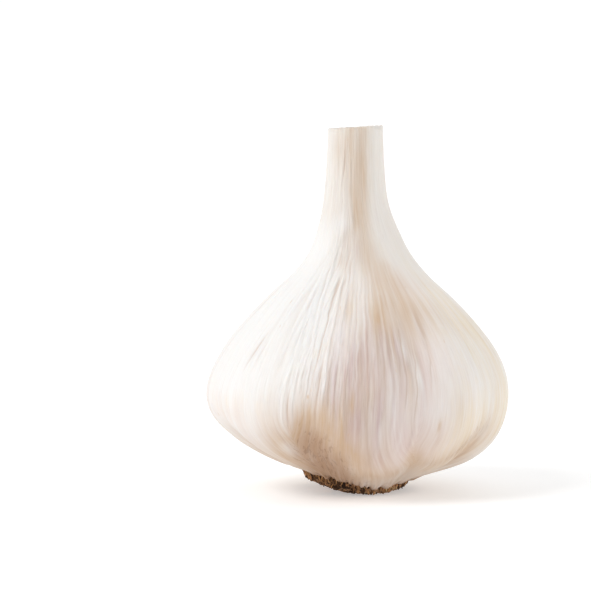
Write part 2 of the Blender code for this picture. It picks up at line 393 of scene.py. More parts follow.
# Stains: turn, rise, half width in degrees, half height as a rise, and how much of each colour
LAVENDER = (
    (6, 0.37, 12, 0.11, 0.8), (-8, 0.24, 9, 0.11, 1.0), (4, 0.27, 10, 0.07, 0.8),
    (-9, 0.38, 4.5, 0.05, 0.3), (4, 0.455, 4, 0.045, 0.45), (-20, 0.79, 16, 0.09, 0.16),
    (-3.4, 0.29, 1.6, 0.045, 1.2), (-8.5, 0.235, 1.6, 0.05, 0.9), (-8, 0.15, 3, 0.04, 0.5),
    (-12, 0.315, 3.0, 0.05, 0.6), (1.5, 0.35, 6.0, 0.06, 0.45), (-1.0, 0.38, 2.4, 0.06, 0.6),
    (16.0, 0.41, 0.9, 0.035, 0.8), (5.7, 0.34, 0.9, 0.075, 0.6), (20.4, 0.35, 0.9, 0.078, 0.35),
    (-13.9, 0.348, 2.5, 0.03, 0.4), (-10.3, 0.365, 1.3, 0.04, 0.35), (54, 0.58, 12, 0.02, 0.15),
    (-37, 0.75, 15, 0.05, 0.14), (-2.6, 0.28, 1.1, 0.026, 1.0), (-7.9, 0.236, 0.8, 0.035, 0.7),
    (-9.2, 0.343, 0.8, 0.04, 0.6), (20.9, 0.193, 0.9, 0.045, 0.6), (5.0, 0.19, 2.3, 0.05, 0.4),
    (34, 0.5, 6, 0.04, 0.4), (-52, 0.4, 2.5, 0.03, 0.7), (6, 0.19, 1.6, 0.07, 0.6),
    (20, 0.48, 3.0, 0.04, 0.4), (-19, 0.696, 8, 0.03, 0.25), (8, 0.14, 9, 0.035, 0.35),
    (15, 0.42, 5, 0.07, 0.4), (30.2, 0.471, 1.5, 0.05, 0.9), (9, 0.47, 3, 0.04, 0.4),
    (12, 0.17, 16, 0.07, 0.55), (19, 0.44, 7, 0.07, 0.62), (24, 0.34, 6, 0.1, 0.48),
    (-9, 0.48, 5, 0.12, 0.45), (-5, 0.67, 6, 0.035, 0.4), (4, 0.66, 7, 0.03, 0.2),
    (-26, 0.2, 7, 0.08, 0.45), (50, 0.2, 7, 0.08, 0.2), (-66, 0.36, 9, 0.08, 0.15),
)
TAN = (
    (15, 0.51, 10, 0.05, 0.8), (30, 0.52, 8, 0.06, 0.42), (46, 0.5, 10, 0.05, 0.22),
    (4, 0.455, 4, 0.045, 0.25), (-12, 0.12, 7, 0.04, 0.4), (23, 0.46, 6, 0.06, 0.3),
    (7.0, 0.505, 2.6, 0.045, 0.2), (29, 0.59, 9, 0.035, 0.35), (24, 0.54, 3, 0.06, 0.25),
    (1.2, 0.345, 4.0, 0.09, 0.4), (-4, 0.125, 6, 0.03, 0.35), (25, 0.12, 3, 0.04, 0.25),
    (60, 0.19, 6, 0.05, 0.35), (45, 0.155, 7, 0.04, 0.6), (34, 0.115, 10, 0.03, 0.45),
    (14, 0.082, 12, 0.022, 0.6), (-5.2, 0.145, 3, 0.04, 0.35), (-7.2, 0.22, 0.7, 0.045, 1.3),
    (-6.8, 0.165, 0.8, 0.04, 1.1), (12.6, 0.48, 4.2, 0.04, 0.3), (-15.3, 0.63, 8, 0.026, 0.25),
    (-8, 0.515, 3, 0.03, 0.3), (-14, 0.22, 4, 0.06, 0.5), (-6, 0.12, 5, 0.03, 0.6),
    (-22, 0.64, 5, 0.02, 0.35), (5.4, 0.328, 2.0, 0.065, 0.35), (61, 0.1, 12, 0.02, 0.25),
    (-21, 0.2, 5, 0.07, 1.3), (-16, 0.165, 5, 0.04, 0.6), (29, 0.17, 6, 0.05, 0.3),
    (-4, 0.11, 9, 0.035, 0.6), (40, 0.14, 8, 0.03, 0.15), (9.1, 0.496, 0.7, 0.01, 1.0),
    (30.7, 0.221, 0.6, 0.016, 1.0), (40, 0.248, 4, 0.07, 0.35), (-38, 0.95, 20, 0.06, 0.35),
    (-12, 0.19, 9, 0.09, 0.7), (-34, 0.15, 8, 0.1, 0.6), (-22, 0.11, 10, 0.06, 1.0),
    (-24, 0.1, 14, 0.045, 0.9), (57, 0.14, 8, 0.05, 0.8), (19.2, 0.36, 0.8, 0.06, 0.4),
    (14.9, 0.443, 0.8, 0.05, 0.5), (-2.6, 0.28, 1.1, 0.028, 0.9), (70, 0.18, 9, 0.05, 0.42),
    (-6, 0.09, 10, 0.04, 0.5), (-22, 0.92, 8, 0.08, 0.2), (24, 0.63, 6, 0.02, 0.3),
    (104, 0.86, 9, 0.14, 0.34), (131, 0.72, 7, 0.1, 0.26), (156, 0.88, 7, 0.13, 0.48),
    (172, 0.66, 8, 0.09, 0.22), (198, 0.82, 10, 0.15, 0.36), (222, 0.74, 6, 0.12, 0.32),
    (241, 0.9, 7, 0.11, 0.46), (262, 0.78, 8, 0.14, 0.24),
)
CREAM = (
    (72, 0.38, 9, 0.16, 0.65), (66, 0.47, 10, 0.04, 0.4), (-7, 0.52, 3, 0.03, 0.4),
    (58, 0.42, 10, 0.14, 0.45), (52, 0.2, 8, 0.08, 0.8), (70, 0.24, 10, 0.08, 0.8),
    (86, 0.22, 8, 0.12, 0.5), (36, 0.5, 18, 0.07, 0.5), (62, 0.56, 22, 0.12, 0.45),
    (20, 0.38, 6, 0.1, 0.35), (-6, 0.34, 3, 0.12, 0.5), (45, 0.15, 14, 0.06, 0.6),
    (41, 0.25, 5, 0.08, 0.9), (49, 0.22, 6, 0.05, 0.6), (-12, 0.55, 8, 0.06, 0.25),
    (8.8, 0.5, 3.5, 0.05, 1.1), (55, 0.9, 42, 0.12, 0.25), (-24, 0.95, 20, 0.1, 0.25),
)
ROSE = (
    (16, 0.15, 24, 0.08, 1.0), (-12, 0.13, 14, 0.07, 0.9), (18, 0.28, 12, 0.1, 0.5),
    (33, 0.45, 9, 0.1, 0.5), (0, 0.36, 6, 0.1, 0.15), (9.5, 0.36, 2.5, 0.07, 0.6),
    (27, 0.33, 5, 0.09, 0.35), (-5, 0.17, 4, 0.06, 0.5), (4, 0.13, 7, 0.04, 0.4),
    (23, 0.35, 18, 0.11, 0.36), (50, 0.34, 17, 0.12, 0.3), (28, 0.57, 12, 0.06, 0.3),
    (12.6, 0.48, 5, 0.04, 0.6), (60, 0.5, 14, 0.05, 0.4), (47, 0.55, 11, 0.04, 0.4),
    (43, 0.61, 12, 0.03, 0.35), (52, 0.8, 26, 0.15, 0.14), (11, 0.593, 10, 0.025, 0.3),
    (30, 0.17, 8, 0.07, 0.5), (-60, 0.2, 22, 0.07, 0.5),
)
PALE = (
    (20, 0.496, 3.0, 0.06, 0.32), (22.0, 0.34, 3.0, 0.11, 0.22), (11.0, 0.326, 1.0, 0.05, 0.45),
    (27, 0.26, 4, 0.06, 0.35), (29.2, 0.484, 1.2, 0.04, 0.4), (8.1, 0.196, 1.4, 0.06, 0.4),
    (16.1, 0.182, 1.5, 0.045, 0.35), (-13.8, 0.36, 0.8, 0.06, 0.2), (-10.6, 0.36, 0.8, 0.06, 0.1),
    (19.4, 0.419, 1.6, 0.035, 0.45), (24.1, 0.351, 1.4, 0.045, 0.55), (59.5, 0.188, 5, 0.02, 0.35),
    (1, 0.44, 3, 0.05, 0.1), (14.5, 0.5, 2.5, 0.05, 0.35), (12.8, 0.272, 2.6, 0.06, 0.3),
    (-14, 0.36, 1.2, 0.08, 0.5), (-10.5, 0.34, 0.9, 0.06, 0.15), (40, 0.31, 9, 0.1, 0.35),
    (56, 0.33, 3.5, 0.09, 0.5), (-28, 0.5, 6, 0.1, 0.7), (-26, 0.74, 14, 0.03, 0.35),
    (48, 0.8, 26, 0.16, 0.2), (-33, 0.13, 6, 0.03, 0.6),
)


def stained(turn, rise, stains, seed, much):
    """The stains that are placed one by one, and as many as needed round the rest of the bulb."""
    draw = np.random.default_rng(seed)
    total = np.zeros(np.broadcast(turn, rise).shape)
    rest = []
    for place in np.arange(96, 264, 11):
        spot = (place + draw.normal(0, 5), draw.uniform(0.14, 0.46))
        size = (draw.uniform(4, 13), draw.uniform(0.06, 0.15))
        rest.append((*spot, *size, much * draw.uniform(0.1, 1.0)))
    for place, high, wide, tall, amount in (*stains, *rest):
        total += amount * facing(place, wide, turn) * near(high, tall, rise)
    return total


def skin_marks(turn, rise, along):
    """How strong each mark on the skin is, 0 to 1.

    blush is the purple of the cloves under it, web the brown stain at the foot, deepened left of the front by
    painted shadow, and crisp where the skin is crumpled into hard creases. The others are named for their
    colours, but tan also holds a painted shadow beside the sheath's edge, and pale a painted light on the
    left flank.
    """
    straight = combed(turn, rise)
    streaks = 0.5 + 0.5 * ripples(straight, along, 40, 160, 40, 0.9, 41)
    ribbons = 0.5 + 0.5 * ripples(straight, along, 18, 60, 16, 0.5, 43)
    clouds = 0.5 + 0.5 * patches(turn, along, 45)
    calm = 0.35 + 0.65 * ease(0.14, 0.28, rise)
    streaks = 0.5 + calm * (streaks - 0.5)
    uneven = np.clip(0.75 + calm * (0.55 * streaks + 0.35 * ribbons - 0.4), 0, 1.3)
    rose = np.clip(stained(turn, rise, ROSE, 49, 0.9) * (0.75 + 0.35 * ribbons), 0, 1)
    blush = np.clip(stained(turn, rise, LAVENDER, 46, 0.8) * uneven, 0, 1)
    cream = stained(turn, rise, CREAM, 47, 0.6) + 0.2 * clouds * near(0.24, 0.2, rise)
    cream = np.clip(cream * (0.45 + 0.5 * ribbons + 0.35 * streaks), 0, 1)

    foot = 1 - ease(0.035, 0.15 + 0.07 * clouds + 0.09 * facing(-12, 30, turn), rise)
    foot = foot * (1 - 0.35 * facing(24, 26, turn))
    tan = foot * (0.75 + 0.35 * streaks) + stained(turn, rise, TAN, 48, 0.35)
    tan += 0.3 * np.clip(1 - lobe(settled(turn, rise)) / 0.2, 0, 1) * near(0.11, 0.06, rise)
    band = facing(groove_turn(rise), 14, turn) * (0.75 + 0.25 * near(0.87, 0.08, rise))
    # Painted shadow: tan just right of the sheath's edge stands for the shadow that the edge casts.
    band += 0.7 * facing(sheath_edge(rise) + 5, 10, turn) * ease(0.6, 0.8, rise)
    tan *= 0.62 + 0.46 * streaks
    tan = np.clip(tan + 0.76 * band * ease(0.48, 0.6, rise) * (0.85 + 0.25 * streaks), 0, 1)
    # Painted shadow in part: the brown at the foot left of the front is made darker than the stain alone.
    browned = facing(-21, 17, turn)
    web = (1 - ease(0.045, 0.095 + 0.17 * browned, rise)) * (0.28 + 0.66 * browned)
    web += 0.25 * facing(-20, 7, turn) * near(0.17, 0.09, rise)
    web += 0.25 * facing(-6, 6, turn) * near(0.115, 0.04, rise)
    frayed = (1 - ease(0.04, 0.054, rise)) * (1 - 0.6 * facing(24, 34, turn))
    web += 0.7 * frayed * (0.5 + 0.5 * mottle(turn, along, 90, 40, 55))
    creases = facing(np.interp(rise, (0.12, 0.16, 0.2, 0.24), (39, 50, 58, 62)), 8, turn)
    web = np.clip(1.2 * web + 0.35 * creases * near(0.17, 0.06, rise), 0, 1)
    pale = stained(turn, rise, PALE, 50, 0.5) * (0.7 + 0.5 * streaks)
    # Painted light: the left flank, where the key light falls, is painted paler.
    flank = facing(-64, 42, turn) * ease(0.22, 0.34, rise) * (1 - ease(0.68, 0.8, rise))
    pale = np.clip(pale + 0.9 * flank, 0, 1)
    crisp = facing(-15, 16, turn) * near(0.34, 0.13, rise) + 0.6 * crinkled_neck_foot(turn, rise)
    crisp = np.clip(crisp + 0.8 * (clouds - 0.45) * ease(70, 110, np.abs(turn)), 0, 1)
    return dict(blush=blush, cream=cream, tan=tan, rose=rose, web=web, pale=pale, crisp=crisp)


# ---------------------------------------------------------------- meshes


def placed(name, data):
    """An object with this data, in the scene."""
    obj = bpy.data.objects.new(name, data)
    bpy.context.scene.collection.objects.link(obj)
    return obj


def meshed(name, points, faces, marks):
    """A smooth object. marks holds one number or vector per point under each name."""
    mesh = bpy.data.meshes.new(name)
    mesh.from_pydata(points, [], faces)
    for mark, values in marks.items():
        values = np.array(values, np.float32).ravel()
        if len(values) > len(points):
            mesh.attributes.new(mark, "FLOAT_VECTOR", "POINT").data.foreach_set("vector", values)
        else:
            mesh.attributes.new(mark, "FLOAT", "POINT").data.foreach_set("value", values)
    mesh.shade_smooth()
    return placed(name, mesh)


def lofted(name, rows, marks, caps=(True, True)):
    """An object through rows of points, an array (rows, sides, 3). caps says which ends are closed."""
    count, sides, _ = rows.shape
    corner = np.arange(count * sides).reshape(count, sides)
    after = np.roll(corner, -1, axis=1)
    quads = np.stack([corner[:-1], after[:-1], after[1:], corner[1:]], axis=-1).reshape(-1, 4)
    faces = quads.tolist()
    if caps[0]:
        faces.append(corner[0][::-1].tolist())
    if caps[1]:
        faces.append(corner[-1].tolist())
    return meshed(name, rows.reshape(-1, 3).tolist(), faces, marks)


def bulb_skin():
    """The wrapped cloves and the neck, from the socket over the root plate to inside the cut."""
    line, even = smooth_line([(r * RADIUS, z * HEIGHT) for r, z in OUTLINE], 4 * SKIN_RINGS)
    tangent = np.gradient(line, axis=0)
    tangent /= np.linalg.norm(tangent, axis=1)[:, None]
    along = crowded(0, 1, SKIN_RINGS + 1, 0.47, 0.22, 1.0)
    line = np.column_stack([np.interp(along, even, line[:, axis]) for axis in (0, 1)])
    tangent = np.column_stack([np.interp(along, even, tangent[:, axis]) for axis in (0, 1)])
    turn = SKIN_TURNS[None, :]
    radius = line[:, :1]
    height = line[:, 1:]
    along = along[:, None]
    rise = height / HEIGHT
    relief, fold_shade, furrow, bent = skin_relief(turn, rise, radius, along)
    tear = 0.22 * ripples(turn, along, 20, 120, 24, 0.2, 51) + 0.34 * mottle(turn, 0 * along, 58, 2, 53)
    tear += 0.2 * mottle(turn, 0 * along, 190, 2, 54)
    tear = tear - 0.45 * facing(-70, 34, turn) + 0.2 * facing(8, 22, turn)
    tear *= MM * (1 - ease(0.04, 0.065, rise))
    rows = skin_points(radius, height, tangent[:, 1:], -tangent[:, :1], turn, relief + tear)

    angle = np.radians(turn)
    level = np.stack([np.sin(angle), -np.cos(angle) * FRONT_TO_BACK, 0 * angle], axis=-1)[0]
    ceiling = level * SOCKET_RADIUS * 0.99
    ceiling[:, 2] = SOCKET_HEIGHT - LEAN * ceiling[:, 0]
    ceiling += (AXIS_X, AXIS_Y, 0)
    ragged = 0.1 * MM * ripples(turn, 0 * turn, 6, 90, 20, 0, 52)[0]
    rim = rows[-1]
    rim[:, 2] += ragged
    lips = []
    for inward, down in ((0.1, -0.05), (0.32, -0.04), (0.42, 0.1), (0.46, 1.4)):
        lip = rim - level * inward * MM
        lip[:, 2] -= down * MM
        lips.append(lip)
    rows = np.concatenate([ceiling[None], rows, np.array(lips)])

    def grown(values):
        values = np.broadcast_to(values, (SKIN_RINGS + 1, SKIN_SIDES))
        return np.concatenate([values[:1], values, np.repeat(values[-1:], len(lips), axis=0)])

    marks = skin_marks(bent, rise, along)
    calm = (0.6 + 0.4 * ease(0.1, 0.26, rise)) * (1 - 0.75 * near(0.56, 0.13, rise))
    # fold and furrow carry painted shade into the skin's colour.
    marks.update(fold=fold_shade, furrow=furrow, calm=calm, neck=ease(0.52, 0.7, rise))
    marks = {name: grown(values) for name, values in marks.items()}
    # The fibres' own space: round the bulb in radians, and 3.4 units from the foot to the cut
    grain = np.radians(combed(turn, rise))
    marks["fibre"] = np.stack([grown(np.sin(grain)), grown(-np.cos(grain)), grown(along * 3.4)], axis=-1)
    return lofted("bulb_skin", rows, marks), rim


def neck_core(rim):
    """The cut end: leaf bases rolled round each other inside the outer skin, round a pithy stem."""
    sides = 300
    rings = 64
    turn = np.linspace(-180, 180, sides, endpoint=False)
    edge = np.stack([np.interp(turn, SKIN_TURNS, rim[:, k], period=360) for k in range(3)], -1)
    middle = edge.mean(axis=0)
    share = np.linspace(1, 0.02, rings)[:, None]
    angle = np.radians(turn)[None, :]
    turn = turn[None, :]
    inside = share * (1.02 - share)
    wobble = 0.3 * ripples(turn, 0 * share, 1, 5, 6, 0, 61) * share
    wobble += inside * (1.3 * mottle(turn, share, 9, 4, 64) + 0.5 * mottle(turn, share, 26, 9, 65))
    roll = 5.4 * share**0.85 + angle / (2 * math.pi) + wobble
    within = roll - np.floor(roll)
    parted = np.clip(0.5 + 0.75 * mottle(turn, share, 13, 7, 66), 0.08, 1)
    gap = np.exp(-((np.minimum(within, 1 - within) / (0.08 + 0.1 * parted)) ** 2)) * parted
    leaf = mottle(turn, share, 10, 9, 67)
    height = -0.45 + 0.22 * leaf - 0.75 * gap + 0.1 * mottle(turn, share, 60, 20, 68)
    height = height + 0.07 * ripples(turn, share, 30, 120, 20, 0, 63)
    pith = 1 - ease(0.1, 0.24, share)
    height = height * (1 - pith) - 0.5 * pith
    inset = 0.4 / 5.5  # millimetres inside the neck, as a share of its radius
    rows = middle + (edge - middle)[None] * (share * (1 - inset))[..., None]
    rows[..., 2] += height * MM
    skirt = rows[:1].copy()
    skirt[..., 2] -= 1.6 * MM
    rows = np.concatenate([skirt, rows])

    def grown(values):
        values = np.broadcast_to(values, (rings, sides))
        return np.concatenate([values[:1], values])

    grain = (np.sin(angle) * share, -np.cos(angle) * share, share * 0.6)
    grain = np.stack([grown(values) for values in grain], axis=-1)
    marks = {"grain": grain, "gap": grown(gap * (1 - pith)), "layer": grown(0.5 + 0.5 * leaf)}
    return lofted("neck_core", rows, marks)


def rim_rise(turn):
    """How far the root plate's rim stands off the ground: nothing at LOW_TURN, most towards -X."""
    away = np.radians(turn - LOW_TURN)
    return (2.3 - 0.9 * np.sin(away)) * np.abs(np.sin(away / 2)) * MM


def oval_share(x, y):
    """1 on the edge of the worn oval, less inside it and more outside."""
    return np.hypot((x - REST_X) / REST_REACH_X, (y - REST_Y) / REST_REACH_Y)


def sole_rise(x, y, turn):
    """How far the underside stands off the ground: nothing on the worn oval, most at the rim."""
    angle = np.radians(turn)
    rim = oval_share(9.7 * MM * np.sin(angle), -9.7 * MM * np.cos(angle) * FRONT_TO_BACK)
    return rim_rise(turn) * np.clip((oval_share(x, y) - 1) / np.maximum(rim - 1, 0.05), 0, 1.1)


def root_plate():
    """The corky disc under the cloves, with a crumbling rim and a worn flat sole."""
    sides = 560
    sole = 34
    flank = 17
    cap = 16
    turn = np.linspace(-180, 180, sides, endpoint=False)[None, :]
    angle = np.radians(turn)
    outer = 9.9 * MM
    top = SOCKET_HEIGHT - GAP
    share = np.concatenate([np.linspace(0.05, 0.97, sole), np.full(flank, 1.0), np.linspace(0.97, 0.05, cap)])
    share = share[:, None]
    climb = np.concatenate([np.zeros(sole), np.linspace(0.03, 0.97, flank), np.ones(cap)])
    climb = climb[:, None]
    course = np.clip(0.35 * share + 0.5 * climb, 0, 1)
    lumps = mottle(turn, course, 46, 7, 71) + 0.6 * mottle(turn, course, 90, 16, 72)
    crumbs = mottle(turn, course, 190, 40, 73)
    strings = ripples(turn, course, 60, 170, 30, 3.0, 74)
    edge = ease(0.6, 1.0, share)
    knob = facing(-78, 34, turn)
    rough = 0.024 * lumps + 0.01 * crumbs + 0.014 * strings + 0.04 * knob
    rim = 1 + 0.03 * np.sin(math.pi * climb) + rough * edge
    reach = share * rim * outer
    x = reach * np.sin(angle)
    y = -reach * np.cos(angle) * FRONT_TO_BACK
    under = sole_rise(x, y, turn)
    under = under + (0.16 * crumbs + 0.2 * lumps + 0.2 - 0.1 * knob) * MM * ease(0.55, 1.0, share)
    z = np.maximum(under, 0) * (1 - climb) + (top - LEAN * x) * climb
    rows = np.stack([x + AXIS_X, y + AXIS_Y, z], axis=-1)
    place = np.stack([x / MM, y / MM, z / MM], axis=-1)
    raised = 0.5 + 0.3 * lumps + 0.25 * crumbs + 0.25 * strings + 0.25 * facing(40, 42, turn)
    raised = np.clip(raised, 0, 1)
    # Painted shade on the cork: strongest at the front left, half as strong at the back, added along the
    # bottom of the rim, and weaker at the right front.
    cork_shade = np.maximum(facing(-22, 22, turn), 0.5 * facing(160, 60, turn))
    cork_shade = np.clip(cork_shade + 0.6 * (1 - ease(0.0, 0.3, climb)) * (share > 0.9), 0, 1)
    cork_shade *= (1 - 0.6 * facing(44, 42, turn))
    return lofted("root_plate_cork", rows, {"place": place, "raised": raised, "cork_shade": cork_shade})


PALE_ROOTS = (11, 24, 30, 38, 46, 56)  # the turns of the straw-coloured roots in front
# Rings of roots: how many, how far out they start, how much that varies, and how long they are
ROOT_RINGS = (
    (150, 10.05, 0.16, 0.8, 2.4),
    (110, 9.75, 0.22, 0.6, 1.8),
    (70, 8.9, 0.4, 0.3, 0.8),
    (56, 7.4, 0.6, 0.3, 0.7),
    (34, 5.4, 0.9, 0.2, 0.6),
)
LIP_SHREDS = 150  # fibres of torn skin that hang from the lip over the cork
STRAND_SIDES = 8
# Where a strand's rings are, as a share of its length, and how thick it is there
STRAND_LEVELS = ((0.0, 0.35), (0.03, 0.8), (0.14, 1.0), (0.35, 0.85), (0.6, 1.05), (0.8, 0.9), (1.0, 1.1))


class Strands:
    """Rough little strands, gathered into one mesh."""

    def __init__(self, draw):
        self.draw = draw
        self.points = []
        self.faces = []
        self.tone = []
        self.low_end_shade = []

    def add(self, foot, head, bow, thick, tone):
        start = len(self.points)
        for share, size in STRAND_LEVELS:
            middle = foot + (head - foot) * share + bow * math.sin(math.pi * share) + (AXIS_X, AXIS_Y, 0)
            for side in range(STRAND_SIDES):
                around = 2 * math.pi * side / STRAND_SIDES + tone * 5
                away = np.array((math.cos(around), math.sin(around), 0)) * thick * size
                self.points.append(tuple(middle + away * (1 + self.draw.normal(0, 0.14))))
                self.tone.append(tone)
                # 1 at a strand's lower end and 0 at its upper end: where the painted shade goes.
                self.low_end_shade.append(1.0 - share)
        last = start + (len(STRAND_LEVELS) - 1) * STRAND_SIDES
        for low in range(start, last, STRAND_SIDES):
            for side in range(STRAND_SIDES):
                a = low + side
                b = low + (side + 1) % STRAND_SIDES
                self.faces.append((a, b, b + STRAND_SIDES, a + STRAND_SIDES))
        self.faces.append(list(range(start, start + STRAND_SIDES))[::-1])
        self.faces.append(list(range(last, last + STRAND_SIDES)))


def outward(turn):
    """The level directions away from the axis and across it at this turn."""
    angle = math.radians(turn)
    out = np.array((math.sin(angle), -math.cos(angle) * FRONT_TO_BACK, 0.0))
    return out, np.array((math.cos(angle), math.sin(angle), 0.0))


def root_ring(strands, ring, count, distance, spread, short, long):
    """Adds a ring of dry, trimmed roots."""
    draw = strands.draw
    for step in range(count):
        turn = 360 * (step + draw.uniform(-0.7, 0.7)) / count
        out, across = outward(turn)
        thick = draw.uniform(0.1, 0.27) * MM
        reach = distance * MM + draw.normal(0, spread) * MM
        ground = float(sole_rise(out[0] * reach, out[1] * reach, turn))
        foot = out * reach + across * draw.normal(0, 0.12) * MM
        foot[2] = max(ground + draw.uniform(-0.25, 0.45) * MM, 0.02 * MM)
        head = out * (reach - draw.uniform(0.0, 0.35) * MM) + across * draw.normal(0, 0.12) * MM
        room = SOCKET_HEIGHT - 0.45 * MM - LEAN * head[0]
        head[2] = min(foot[2] + draw.uniform(short, long) * MM, room)
        if head[2] - foot[2] < 0.25 * MM:
            continue
        bow = out * draw.uniform(-0.1, 0.25) * MM + across * draw.normal(0, 0.12) * MM
        pale = min(abs(turn_gap(turn, place)) for place in PALE_ROOTS) < 1.3 and ring < 2
        pale = pale or draw.random() < 0.3 * facing(180, 60, turn)
        tone = draw.uniform(0.72, 1.0) if pale else 0.62 * draw.random() ** 1.6
        tone = min(tone + 0.16 * facing(54, 26, turn), 1.0)
        if pale:
            thick = draw.uniform(0.12, 0.18) * MM
        if ring < 3 and draw.random() < 0.9 * facing(-62, 42, turn):
            continue
        strands.add(foot, head, bow, thick, tone)


def lip_shreds(strands):
    """Adds the fibres of torn skin, most of them at the back and left of the front."""
    draw = strands.draw
    for _ in range(LIP_SHREDS):
        turn = -36 + draw.normal(0, 15) if draw.random() < 0.45 else 180 + draw.normal(0, 55)
        out, across = outward(turn)
        head = skin_points(0.362 * RADIUS, 0.044 * HEIGHT, 1, 0, turn, 0) - (AXIS_X, AXIS_Y, 0)
        foot = out * draw.uniform(9.9, 10.7) * MM + across * draw.normal(0, 0.35) * MM
        foot[2] = max(head[2] - draw.uniform(0.5, 1.7) * MM, rim_rise(turn) + 0.1 * MM)
        bow = out * draw.uniform(-0.1, 0.2) * MM + across * draw.normal(0, 0.15) * MM
        strands.add(foot, head, bow, draw.uniform(0.05, 0.1) * MM, draw.uniform(0.0, 0.66))


def roots():
    """Dry roots, trimmed, round the plate's rim and under it, and fibres of torn skin above them."""
    strands = Strands(np.random.default_rng(SEED + 1))
    for ring, layout in enumerate(ROOT_RINGS):
        root_ring(strands, ring, *layout)
    lip_shreds(strands)
    return meshed("roots", strands.points, strands.faces, {"tone": strands.tone, "low_end_shade": strands.low_end_shade})


# ---------------------------------------------------------------- materials


class Paint:
    """A short way to wire a material's nodes.

    A socket that is given the name of a mark on the mesh reads that mark, and each coat goes over the
    colour so far.
    """

    def __init__(self, name, **surface):
        self.material = bpy.data.materials.new(name)
        self.material.use_nodes = True
        self.tree = self.material.node_tree
        self.shader = self.tree.nodes["Principled BSDF"]
        self.colour = None
        for socket, value in surface.items():
            self.shader.inputs[socket.replace("_", " ")].default_value = value

    def node(self, kind, output=0, inputs=(), **settings):
        made = self.tree.nodes.new(kind)
        for name, value in settings.items():
            setattr(made, name, value)
        for key, value in dict(inputs).items():
            if isinstance(value, str):
                value = self.node("ShaderNodeAttribute", "Fac", attribute_name=value)
            if isinstance(value, bpy.types.NodeSocket):
                self.tree.links.new(value, made.inputs[key])
            else:
                made.inputs[key].default_value = value
        return made.outputs[output]

    def noise(self, vector, scale, detail, roughness=0.55, distortion=0.0):
        inputs = {"Vector": vector, "Scale": scale, "Detail": detail}
        inputs.update({"Roughness": roughness, "Distortion": distortion})
        return self.node("ShaderNodeTexNoise", "Fac", inputs)

    def grain(self, mark, cells, detail, roughness=0.55, distortion=0.0):
        """Noise with this many cells to a unit of the mark, which is a vector."""
        read = self.node("ShaderNodeAttribute", "Vector", attribute_name=mark)
        vector = self.node("ShaderNodeVectorMath", 0, {0: read, 1: cells}, operation="MULTIPLY")
        return self.noise(vector, 1.0, detail, roughness, distortion)

    def fit(self, value, low, high, to_low=0.0, to_high=1.0):
        inputs = {"Value": value, "From Min": low, "From Max": high, "To Min": to_low, "To Max": to_high}
        return self.node("ShaderNodeMapRange", 0, inputs, interpolation_type="SMOOTHSTEP")

    def times(self, a, b):
        return self.node("ShaderNodeMath", 0, {0: a, 1: b}, operation="MULTIPLY")

    def mix(self, factor, a, b, blend="MIX"):
        inputs = {0: factor, 6: a, 7: b}
        return self.node("ShaderNodeMix", 2, inputs, data_type="RGBA", blend_type=blend)

    def coat(self, factor, colour, blend="MIX"):
        self.colour = self.mix(factor, self.colour, colour, blend)

    def bump(self, height, distance, strength=1.0, normal=None):
        inputs = {"Height": height, "Distance": distance, "Strength": strength}
        if normal is not None:
            inputs["Normal"] = normal
        return self.node("ShaderNodeBump", 0, inputs)

    def finish(self, roughness=None, normal=None):
        for socket, value in (("Base Color", self.colour), ("Roughness", roughness), ("Normal", normal)):
            if value is not None:
                self.tree.links.new(value, self.shader.inputs[socket])
        return self.material


